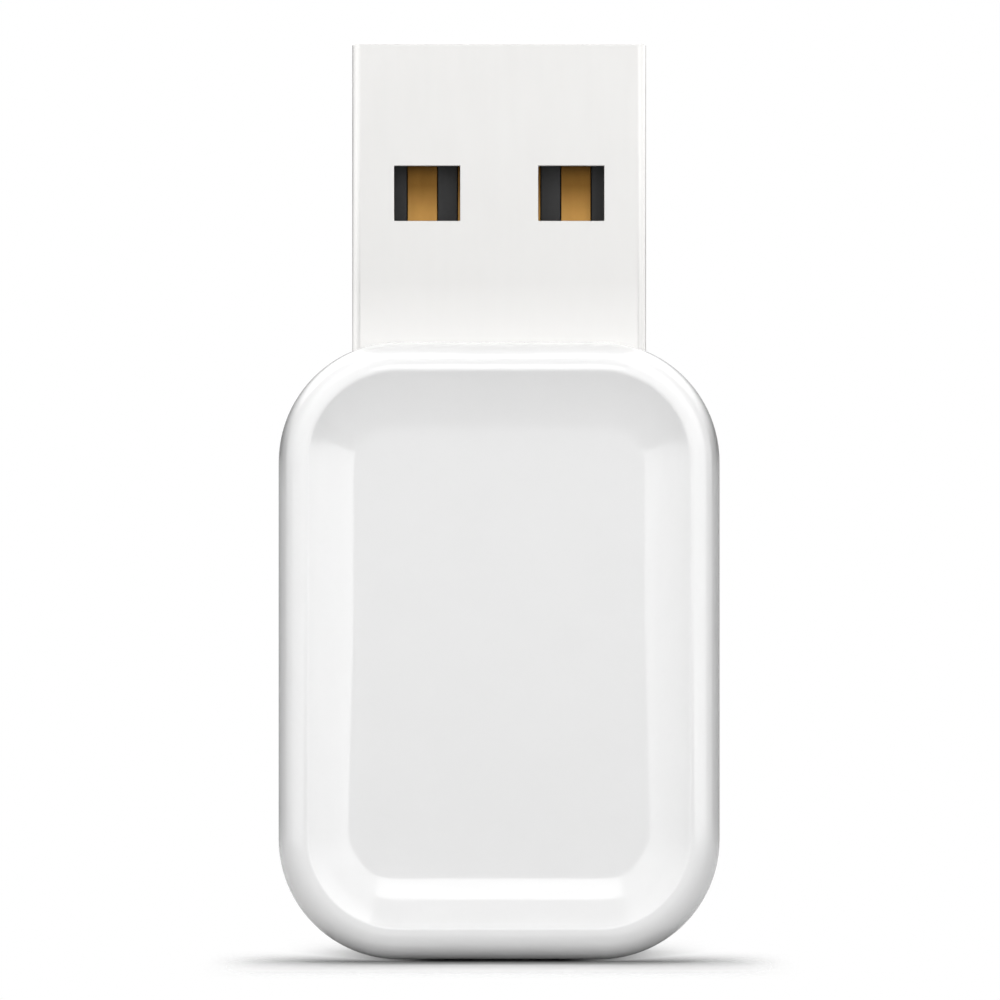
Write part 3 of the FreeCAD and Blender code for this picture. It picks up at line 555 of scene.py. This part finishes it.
def cut(piece, tool):
    """Takes the tool's volume off the piece, and the tool away. The cut is made in millimetres."""
    for item in (piece, tool):
        for vertex in item.data.vertices:
            vertex.co = [round(part / MM, SNAP_DIGITS) for part in vertex.co]
        item.data.update()
    step = piece.modifiers.new("Cut", "BOOLEAN")
    step.operation = "DIFFERENCE"
    step.solver = "EXACT"
    step.object = tool
    graph = bpy.context.evaluated_depsgraph_get()
    result = bpy.data.meshes.new_from_object(piece.evaluated_get(graph))
    piece.modifiers.clear()
    spent = (piece.data, tool.data)
    piece.data = result
    bpy.data.objects.remove(tool)
    for mesh in spent:
        bpy.data.meshes.remove(mesh)
    build = bmesh.new()
    build.from_mesh(result)
    bmesh.ops.remove_doubles(build, verts=build.verts, dist=SLIVER)
    bmesh.ops.dissolve_degenerate(build, dist=SLIVER, edges=build.edges)
    bmesh.ops.scale(build, vec=(MM, MM, MM), verts=build.verts)
    build.to_mesh(result)
    build.free()
    result.name = piece.name
    if not result.polygons:
        raise RuntimeError("nothing is left of " + piece.name)


def block(name, low, high):
    """A plain block between two corners."""
    across, along, up = zip(low, high)
    corners = [(x, y, z) for x in across for y in along for z in up]
    faces = [(0, 1, 3, 2), (4, 6, 7, 5), (0, 4, 5, 1), (2, 3, 7, 6), (0, 2, 6, 4), (1, 5, 7, 3)]
    build = bmesh.new()
    points = [build.verts.new(corner) for corner in corners]
    for face in faces:
        build.faces.new([points[index] for index in face])
    bmesh.ops.recalc_face_normals(build, faces=build.faces)
    return built(name, build)


def finish_piece(piece, slot, material, *replaced):
    """Gives a new piece its finish and its body, and hides the CAD nodes that it stands for."""
    piece.data.materials.clear()
    piece.data.materials.append(material)
    for face in piece.data.polygons:
        face.use_smooth = True
        face.material_index = 0
    piece.data.set_sharp_from_angle(angle=SHARP)
    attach(piece, "root")
    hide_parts(*replaced)


# How finely the covers are built, in rings
SIDE_RINGS = 4
FRONT_ROUND_RINGS = 16
BACK_ROUND_RINGS = 14
CREST_RINGS = 8
COVE_RINGS = 18
# The last rings on flat ground: on the dish's floor as reaches, and on the back as insets
FLOOR_REACHES = (1.03, 1.15)
BACK_INSETS = (0.1 * MM, 0.5 * MM)

SMALLEST_CORNER = 0.1 * MM
BEHIND_SKIN = 0.1 * MM  # the part that is cut away starts this far behind the skin
OVERSHOOT = 0.2 * MM  # blanks and tools reach past each other by this
SKIN_AT_FACE = 0.5 * MM  # kept under the dish's floor and under the back
TOP_WALL = 2.2 * MM  # the opening's tool reaches this far down
LAND_PARTS = 3  # one part in this many of the bottom land comes off the dish's slope


class CoverShape:
    """The outline rings that both covers share."""

    def __init__(self):
        self.values = settings().covers
        self.half = front_high.x
        self.high = front_high.z

    def inset(self, inset, y):
        """The housing's outline, drawn in by inset."""
        values = self.values
        radius = max(values.corner - inset, SMALLEST_CORNER)
        return ring(self.half - inset, inset, self.high - inset, radius, y,
                    values.corner_steps, values.side_steps)

    def dished(self, reach, y):
        """An outline of the dish: reach is 0 at the rim and 1 at the floor."""
        values = self.values
        rim = values.front_round + values.land
        radius = (values.corner - rim) * (1 - reach) + values.floor_corner * reach
        slope = values.dish_bottom - values.bottom_land / LAND_PARTS
        low = rim + values.bottom_land + reach * slope
        return ring(self.half - rim - reach * values.dish_side, low,
                    self.high - rim - reach * values.dish_top, radius, y,
                    values.corner_steps, values.side_steps)

    def hollow_tool(self, node_name, y0, y1):
        """What the cover's inside leaves empty, taken from the CAD node."""
        kept = self.values.wall_kept
        tool = lofted("tool", [self.inset(kept, y0), self.inset(kept, y1)])
        cut(tool, joined_copy("inside", node_name))
        return tool

    def opening_tool(self):
        """The way for the plug through the top wall."""
        room = self.values.opening_clearance
        half = settings().plug.tube_width / 2 + room
        low = (-half, shell_low.y - room, self.high - TOP_WALL)
        high = (half, shell_high.y + room, self.high + MM)
        return block("opening", low, high)


class STICK_OT_front_cover(bpy.types.Operator):
    """Builds the dished front cover with its rounded rim"""

    bl_idname = "stick.front_cover"
    bl_label = "Front cover"

    def execute(self, context):
        shape = CoverShape()
        values = shape.values
        front = front_low.y
        groove = values.groove
        hindmost = front_high.y + OVERSHOOT
        inner = values.wall_kept + BEHIND_SKIN
        rings = [shape.inset(inner, hindmost), shape.inset(inner, 0.0)]
        rings += [shape.inset(groove, 0.0), shape.inset(0.0, -groove)]
        start = front + values.front_round_depth
        for step in range(1, SIDE_RINGS + 1):
            rings.append(shape.inset(0.0, -groove + (start + groove) * step / SIDE_RINGS))
        for step in range(1, FRONT_ROUND_RINGS + 1):
            angle = math.radians(90.0 * step / FRONT_ROUND_RINGS)
            inset = values.front_round * (1 - math.cos(angle))
            rings.append(shape.inset(inset, start - values.front_round_depth * math.sin(angle)))
        rings += self.dish(shape, front)
        piece = lofted("front_cover_shell", rings)
        foremost = front + values.dish_depth + SKIN_AT_FACE
        cut(piece, shape.hollow_tool("front_cover", foremost, hindmost + OVERSHOOT))
        cut(piece, shape.opening_tool())
        finish_piece(piece, "housing_white", glossy_white(), "front_cover")
        return {"FINISHED"}

    def dish(self, shape, front):
        """Rings from the rim over its crest and down the cove to the dish's floor."""
        values = shape.values
        width, depth, crest = values.dish_side, values.dish_depth, values.crest
        cove = (width ** 2 + depth ** 2) / (2 * depth)
        fall = crest + cove - depth
        reach = math.sqrt((cove + crest) ** 2 - fall ** 2)
        crest_x = width - reach
        turn = math.atan2(reach, fall)
        rings = []
        for step in range(CREST_RINGS + 1):
            angle = turn * step / CREST_RINGS
            across = crest_x + crest * math.sin(angle)
            rings.append(shape.dished(across / width, front + crest * (1 - math.cos(angle))))
        for step in range(1, COVE_RINGS + 1):
            angle = turn * (1 - step / COVE_RINGS)
            y = front + depth - cove * (1 - math.cos(angle))
            rings.append(shape.dished(1 - cove * math.sin(angle) / width, y))
        return rings + [shape.dished(extra, front + depth) for extra in FLOOR_REACHES]


class STICK_OT_rear_cover(bpy.types.Operator):
    """Builds the rear cover with its lip and rounded back edge"""

    bl_idname = "stick.rear_cover"
    bl_label = "Rear cover"

    def execute(self, context):
        shape = CoverShape()
        values = shape.values
        groove = values.groove
        back = rear_high.y
        foremost = rear_low.y - OVERSHOOT
        inner = values.wall_kept + BEHIND_SKIN
        rings = [shape.inset(inner, foremost), shape.inset(inner, 0.0)]
        rings += [shape.inset(groove, 0.0), shape.inset(0.0, groove)]
        start = back - values.back_round
        for step in range(1, SIDE_RINGS + 1):
            rings.append(shape.inset(0.0, groove + (start - groove) * step / SIDE_RINGS))
        for step in range(1, BACK_ROUND_RINGS + 1):
            angle = math.radians(90.0 * step / BACK_ROUND_RINGS)
            inset = values.back_round * (1 - math.cos(angle))
            rings.append(shape.inset(inset, start + values.back_round * math.sin(angle)))
        for extra in BACK_INSETS:
            rings.append(shape.inset(values.back_round + extra, back))
        piece = lofted("rear_cover_shell", rings)
        cut(piece, shape.hollow_tool("rear_cover", foremost - OVERSHOOT, back - SKIN_AT_FACE))
        cut(piece, shape.opening_tool())
        finish_piece(piece, "housing_white", glossy_white(), "rear_cover")
        return {"FINISHED"}


def glossy_white():
    """The polished white plastic, made once."""
    values = settings().covers
    rough = values.roughness
    return bpy.data.materials.get("glossy white") or surface(
        "glossy white", values.white, (rough - 0.02, rough + 0.04), contrast=0.006,
        mottle=450.0, hairs=9000.0, bump=0.4e-6, coat=values.coat, ior=1.6,
    )


def eased(node_name, material, edge):
    """Gives a CAD node its finish, with joined corners and slightly rounded edges."""
    node = nodes[node_name]
    node.data.materials.clear()
    node.data.materials.append(material)
    weld = node.modifiers.new("Joined", "WELD")
    weld.merge_threshold = JOINED
    flat = node.modifiers.new("Flat faces", "DECIMATE")
    flat.decimate_type = "DISSOLVE"
    flat.angle_limit = FLAT
    bevel = node.modifiers.new("Eased edges", "BEVEL")
    bevel.width = edge
    bevel.segments = 2
    bevel.limit_method = "ANGLE"
    bevel.angle_limit = EASED_FROM
    bevel.harden_normals = True
    bevel.use_clamp_overlap = True


class STICK_OT_plug_shell(bpy.types.Operator):
    """Finishes the plug's folded sheet in satin steel"""

    bl_idname = "stick.plug_shell"
    bl_label = "Plug shell"

    def execute(self, context):
        values = settings().plug
        rough = values.steel_roughness
        steel = surface("satin steel", values.steel, (rough - 0.03, rough + 0.03),
                        contrast=0.01, mottle=500.0, hairs=2600.0, stretch=(1.0, 1.0, 0.12),
                        bump=0.1e-6, metallic=1.0)
        # Painted light on the steel near the housing, painted shade higher up
        painted_shade_towards_tip(steel, values.steel_painted_light_end, values.steel_painted_shade_start,
                           values.steel_painted_shade)
        painted_bend_reflections(steel, values)
        eased("usb_plug_shell", steel, values.edge)
        return {"FINISHED"}


class STICK_OT_plug_insulator(bpy.types.Operator):
    """Finishes the moulded block in black plastic"""

    bl_idname = "stick.plug_insulator"
    bl_label = "Plug insulator"

    def execute(self, context):
        values = settings().plug
        rough = values.plastic_roughness
        plastic = surface("black plastic", values.plastic, (rough - 0.06, rough + 0.06),
                          contrast=0.12, mottle=1200.0, hairs=7000.0, bump=1.2e-6)
        eased("plug_insulator", plastic, values.edge)
        return {"FINISHED"}


class STICK_OT_contacts(bpy.types.Operator):
    """Finishes the four contact strips in gold plate"""

    bl_idname = "stick.contacts"
    bl_label = "Contacts"

    def execute(self, context):
        values = settings().plug
        rough = values.gold_roughness
        gold = surface("gold plate", values.gold, (rough - 0.05, rough + 0.08),
                       contrast=0.12, mottle=700.0, hairs=3800.0, stretch=(1.0, 1.0, 0.1),
                       bump=1.5e-6, metallic=1.0)
        # Painted shade on the contacts towards the tip
        painted_shade_towards_tip(gold, values.gold_painted_light_end, values.gold_painted_shade_end, values.gold_painted_shade)
        for name in ("power", "data_minus", "data_plus", "ground"):
            eased("usb_contact_" + name, gold, values.edge)
        return {"FINISHED"}


class STICK_OT_board(bpy.types.Operator):
    """Finishes the circuit board and its solder joints"""

    bl_idname = "stick.board"
    bl_label = "Board and solder"

    def execute(self, context):
        values = settings().inside
        board = surface("green board", values.mask, (0.3, 0.42), contrast=0.15,
                        mottle=300.0, hairs=5000.0, bump=1.0e-6, coat=0.3)
        tracked(board, values.copper)
        eased("circuit_board", board, values.edge)
        solder = surface("solder", values.solder, (0.2, 0.34), contrast=0.08,
                         mottle=1500.0, hairs=5000.0, bump=3.0e-6, metallic=1.0)
        for name in ("contact_solder", "shell_solder", "antenna_solder"):
            eased(name, solder, values.edge)
        return {"FINISHED"}


class STICK_OT_chips(bpy.types.Operator):
    """Finishes the chips and their leads"""

    bl_idname = "stick.chips"
    bl_label = "Chips"

    def execute(self, context):
        values = settings().inside
        resin = surface("chip resin", values.resin, (0.45, 0.6), contrast=0.2,
                        mottle=2500.0, hairs=9000.0, bump=2.0e-6)
        for name in ("radio_chip", "usb_bridge_chip", "surge_protector", "voltage_regulator",
                     "resettable_fuse", "resistors"):
            eased(name, resin, values.edge)
        return {"FINISHED"}


class STICK_OT_tinned_parts(bpy.types.Operator):
    """Finishes the shield, the antenna, the crystal and the leads in tin"""

    bl_idname = "stick.tinned_parts"
    bl_label = "Tinned parts"

    def execute(self, context):
        values = settings().inside
        tin = surface("tinned steel", values.tin, (0.24, 0.36), contrast=0.05, mottle=600.0,
                      hairs=3000.0, stretch=(1.0, 1.0, 0.2), bump=0.8e-6, metallic=1.0)
        for name in ("radio_shield_can", "stamped_antenna", "radio_crystal", "chip_leads"):
            eased(name, tin, values.edge)
        return {"FINISHED"}


class STICK_OT_ceramic_parts(bpy.types.Operator):
    """Finishes the capacitors, the coils, the filter and the bead"""

    bl_idname = "stick.ceramic_parts"
    bl_label = "Ceramic parts"

    def execute(self, context):
        values = settings().inside
        finishes = (
            ("white ceramic", values.white_ceramic, ("band_filter", "matching_coils")),
            ("tan ceramic", values.tan_ceramic, ("bulk_capacitors", "bypass_capacitors")),
            ("ferrite", values.ferrite, ("ferrite_bead",)),
        )
        for label, tone, names in finishes:
            ceramic = surface(label, tone, (0.4, 0.55), contrast=0.1,
                              mottle=2000.0, hairs=8000.0, bump=1.5e-6)
            for name in names:
                eased(name, ceramic, values.edge)
        return {"FINISHED"}


# Stage

# Each lamp: its name, the direction that it shines from, its width and its height
LAMPS = (
    ("top", (0.0, 0.0, 1.0), 0.4, 0.4),
    ("front", (0.0, -0.91, 0.41), 0.6, 0.25),
    ("front_low", (0.0, -1.0, 0.08), 0.4, 0.2),
    ("left", (-1.0, 0.0, 0.2), 0.3, 0.3),
    ("right", (1.0, 0.0, 0.2), 0.3, 0.3),
    ("back", (0.0, 1.0, 0.25), 0.3, 0.3),
)
# Each panel that gloss mirrors: how far off the camera's axis it starts and ends, and its two
# bearings round that axis, from the right over the top, all in degrees
PANELS = (
    ("right_panel", 3.0, 55.0, -18.0, 25.0),
    ("right_upper_panel", 3.0, 55.0, 25.0, 72.0),
    ("right_far_panel", 55.0, 92.0, -18.0, 72.0),
    ("right_edge_panel", 92.0, 122.0, -18.0, 72.0),
    ("left_panel", 3.0, 55.0, 155.0, 198.0),
    ("left_upper_panel", 3.0, 55.0, 108.0, 155.0),
    ("left_far_panel", 55.0, 92.0, 108.0, 198.0),
    ("left_edge_panel", 92.0, 122.0, 108.0, 198.0),
    ("strip_panel", 3.0, 31.0, 72.0, 108.0),
    ("upper_panel", 31.0, 80.0, 72.0, 108.0),
    ("overhead_panel", 80.0, 122.0, 72.0, 108.0),
    ("behind_panel", 122.0, 165.0, 0.0, 180.0),
)
# Over what heights above the floor a panel lights up. The others are lit all over, by the same
# nodes, because a plain strength would be sampled another way and look a little brighter
RISES = {"behind_panel": (0.05, 0.35)}
LIT_ALL_OVER = (-1.0, -0.9)
STAGE_MIDDLE = Vector((0.0, 0.0, 0.015))
PANEL_DISTANCE = 0.45
PANEL_STEPS = 16
LAMP_DISTANCE = 0.5
CARD_THICKNESS = 0.002
FLOOR_SIDES = 96


def floor_disc(reach):
    """A round floor with so many sides that its edge looks smooth."""
    build = bmesh.new()
    bmesh.ops.create_circle(build, cap_ends=True, segments=FLOOR_SIDES, radius=reach)
    return built("studio_floor", build)


def fading_floor(values):
    """A matt floor that keeps the shadow near the object, with a painted contact shadow and a
    painted line under the foot, and, for the camera, fades round it.
    """
    material = surface("matt floor", values.floor, (0.8, 0.9), contrast=0.002,
                       mottle=20.0, hairs=200.0, bump=1.0e-6)
    graph, shader, tone = base_colour(material)
    shader.inputs["Specular IOR Level"].default_value = 0.1
    rays = graph.add("ShaderNodeLightPath").outputs
    place = graph.place()
    aside = graph.math("ABSOLUTE", place["X"])
    ahead = graph.math("MULTIPLY", place["Y"], -1.0)
    under = graph.ramp(aside, values.painted_shadow_start, values.painted_shadow_end)

    # The contact shadow and the dark line under the foot, both shade painted into the floor's
    # colour
    occlusion = graph.add("ShaderNodeAmbientOcclusion", {"Distance": values.contact_reach}, samples=16)
    contact = graph.math("POWER", occlusion.outputs["AO"], values.contact_depth)
    front = graph.ramp(ahead, values.painted_shadow_front, values.painted_shadow_front + values.line_width)
    line = graph.math("MULTIPLY", graph.math("MULTIPLY", under, front), values.painted_shadow_depth)
    light = graph.math("SUBTRACT", 1.0, line)
    shaded = graph.mix(graph.math("MULTIPLY", contact, light), BLACK, tone)
    seen = graph.mix(rays["Is Camera Ray"], rgba(values.floor_bounce), shaded)
    graph.tree.links.new(seen, shader.inputs["Base Color"])

    # How much of the floor the camera sees: none from below
    edge = cad_bounds[1].x
    beside = graph.ramp(aside, edge, edge + values.side_fade)
    before = graph.math("MULTIPLY", graph.ramp(ahead, values.front_start, values.front_end),
                        graph.ramp(place["Y"], values.back_fade, values.back_end))
    behind = graph.spread(place["Y"], -values.back_fade, values.back_fade, 1.0, 0.0)
    behind = graph.math("POWER", behind, 2.0)
    near = graph.math("MULTIPLY", graph.math("MULTIPLY", beside, before),
                      graph.math("MAXIMUM", behind, under))
    below = graph.add("ShaderNodeNewGeometry").outputs["Backfacing"]
    unseen = graph.math("MAXIMUM", graph.math("SUBTRACT", 1.0, near), below)

    # How much of it gloss sees, by the distance from the middle
    away = graph.math("SQRT", graph.math("ADD", graph.math("POWER", aside, 2.0),
                                         graph.math("POWER", ahead, 2.0)))
    wide = graph.ramp(away, values.gloss_fade_start, values.gloss_fade_end)
    faded = graph.math("SUBTRACT", 1.0, wide)

    hidden = graph.math("MAXIMUM", graph.math("MULTIPLY", rays["Is Glossy Ray"], faded),
                        graph.math("MULTIPLY", rays["Is Camera Ray"], unseen))
    graph.tree.links.new(graph.math("SUBTRACT", 1.0, hidden), shader.inputs["Alpha"])
    return material


def gloss_panel(name, sector, strength):
    """A bright panel that only gloss can see, part of a sphere round the object."""
    low, high, start, end = (math.radians(part) for part in sector)
    build = bmesh.new()
    rows = []
    for step in range(PANEL_STEPS + 1):
        off = low + (high - low) * step / PANEL_STEPS
        row = []
        for turn in range(PANEL_STEPS + 1):
            bearing = start + (end - start) * turn / PANEL_STEPS
            way = Vector((math.sin(off) * math.cos(bearing), -math.cos(off),
                          math.sin(off) * math.sin(bearing)))
            row.append(build.verts.new(STAGE_MIDDLE + way * PANEL_DISTANCE))
        rows.append(row)
    for first, second in zip(rows, rows[1:]):
        for turn in range(PANEL_STEPS):
            build.faces.new((first[turn], first[turn + 1], second[turn + 1], second[turn]))
    panel = built(name, build)
    material = bpy.data.materials.new(name)
    material.use_nodes = True
    graph = Graph(material.node_tree)
    dark_below, lit_above = RISES.get(name, LIT_ALL_OVER)
    level = graph.spread(graph.place()["Z"], dark_below, lit_above, 0.0, strength, "SMOOTHSTEP")
    light = graph.add("ShaderNodeEmission", {"Strength": level})
    graph.add("ShaderNodeOutputMaterial", {"Surface": light.outputs["Emission"]})
    panel.data.materials.append(material)
    only_in_gloss(panel)


def only_in_gloss(item):
    """Hides a stage piece from everything but glossy rays."""
    for ray in ("camera", "diffuse", "transmission", "shadow", "volume_scatter"):
        setattr(item, "visible_" + ray, False)


def dark_card(name, side, values):
    """A dim card that only gloss sees, so that white edges stand out; it thins out upwards."""
    near = side * values.card_gap
    far = side * (values.card_gap + values.card_width)
    card = block(name, (min(near, far), values.card_back, -values.card_height),
                 (max(near, far), values.card_back + CARD_THICKNESS, values.card_height))
    material = bpy.data.materials.get("black card")
    if material is None:
        material = surface("black card", (0.01, 0.01, 0.01), (0.9, 1.0), contrast=0.1,
                           mottle=30.0, hairs=90.0, bump=1e-6)
        graph, shader, _ = base_colour(material)
        solid = graph.ramp(graph.place()["Z"], values.card_fade, values.card_height)
        graph.tree.links.new(solid, shader.inputs["Alpha"])
        shader.inputs["Emission Color"].default_value = WHITE
        shader.inputs["Emission Strength"].default_value = values.card_glow
    card.data.materials.append(material)
    only_in_gloss(card)


class STICK_OT_stage(bpy.types.Operator):
    """Builds the white floor, the lamps, the surroundings and the camera"""

    bl_idname = "stick.stage"
    bl_label = "Stage"

    def execute(self, context):
        values = settings().stage
        floor = floor_disc(values.floor_reach)
        floor.data.materials.append(fading_floor(values))
        dark_card("dark_card_left", -1, values)
        dark_card("dark_card_right", 1, values)
        for name, *sector in PANELS:
            gloss_panel(name, sector, getattr(values, name))
        for name, direction, wide, tall in LAMPS:
            lamp = bpy.data.lights.new(name + "_lamp", "AREA")
            lamp.shape = "RECTANGLE"
            lamp.size = wide
            lamp.size_y = tall
            lamp.energy = getattr(values, name)
            holder = bpy.data.objects.new(name + "_lamp", lamp)
            holder.location = STAGE_MIDDLE + Vector(direction).normalized() * LAMP_DISTANCE
            aim = STAGE_MIDDLE - holder.location
            holder.rotation_euler = aim.to_track_quat("-Z", "Y").to_euler()
            holder.visible_camera = False
            holder.visible_glossy = False
            context.scene.collection.objects.link(holder)
        self.surroundings(context.scene, values)
        eye = bpy.data.cameras.new("camera")
        eye.lens = values.lens
        eye.sensor_width = 36.0
        eye.clip_start = 0.01
        eye.clip_end = 20.0
        camera = bpy.data.objects.new("camera", eye)
        camera.location = (values.eye_side, -values.eye_distance, values.eye_height)
        camera.rotation_euler = (math.radians(90.0), 0.0, 0.0)
        context.scene.collection.objects.link(camera)
        context.scene.camera = camera
        context.scene.view_settings.view_transform = "Standard"
        return {"FINISHED"}

    def surroundings(self, scene, values):
        """White for the camera, with levels of their own for gloss and glass and for the rest."""
        world = bpy.data.worlds.new("studio")
        world.use_nodes = True
        scene.world = world
        graph = Graph(world.node_tree)
        rays = graph.add("ShaderNodeLightPath").outputs
        soft, gloss, plain = (
            graph.add("ShaderNodeBackground", {"Color": WHITE, "Strength": strength}).outputs[0]
            for strength in (values.ambient, values.mirrored, 1.0)
        )
        clear = graph.math("MAXIMUM", rays["Is Glossy Ray"], rays["Is Transmission Ray"])
        unseen = graph.add("ShaderNodeMixShader", {0: clear, 1: soft, 2: gloss}).outputs[0]
        whole = graph.add("ShaderNodeMixShader", {0: rays["Is Camera Ray"], 1: unseen, 2: plain})
        graph.add("ShaderNodeOutputWorld", {"Surface": whole.outputs[0]})


class STICK_PT_sidebar(bpy.types.Panel):
    """Lists the stick's pieces in the 3D view's sidebar"""

    bl_idname = "STICK_PT_sidebar"
    bl_label = "Radio stick"
    bl_space_type = "VIEW_3D"
    bl_region_type = "UI"
    bl_category = "Radio stick"

    def draw(self, context):
        for operator in OPERATORS:
            self.layout.operator(operator.bl_idname)


OPERATORS = (
    STICK_OT_front_cover,
    STICK_OT_rear_cover,
    STICK_OT_plug_shell,
    STICK_OT_plug_insulator,
    STICK_OT_contacts,
    STICK_OT_board,
    STICK_OT_chips,
    STICK_OT_tinned_parts,
    STICK_OT_ceramic_parts,
    STICK_OT_stage,
)
CLASSES = (CoverSettings, PlugSettings, InsideSettings, StageSettings, StickSettings) + OPERATORS
CLASSES += (STICK_PT_sidebar,)


def register():
    """Adds the classes and the scene's settings."""
    for item in CLASSES:
        bpy.utils.register_class(item)
    bpy.types.Scene.radio_stick = PointerProperty(type=StickSettings)


def unregister():
    """Takes them away again."""
    del bpy.types.Scene.radio_stick
    for item in reversed(CLASSES):
        bpy.utils.unregister_class(item)


def main():
    """Builds every piece and the stage."""
    register()
    for operator in OPERATORS:
        group, name = operator.bl_idname.split(".")
        getattr(getattr(bpy.ops, group), name)()


if __name__ == "__main__":
    main()
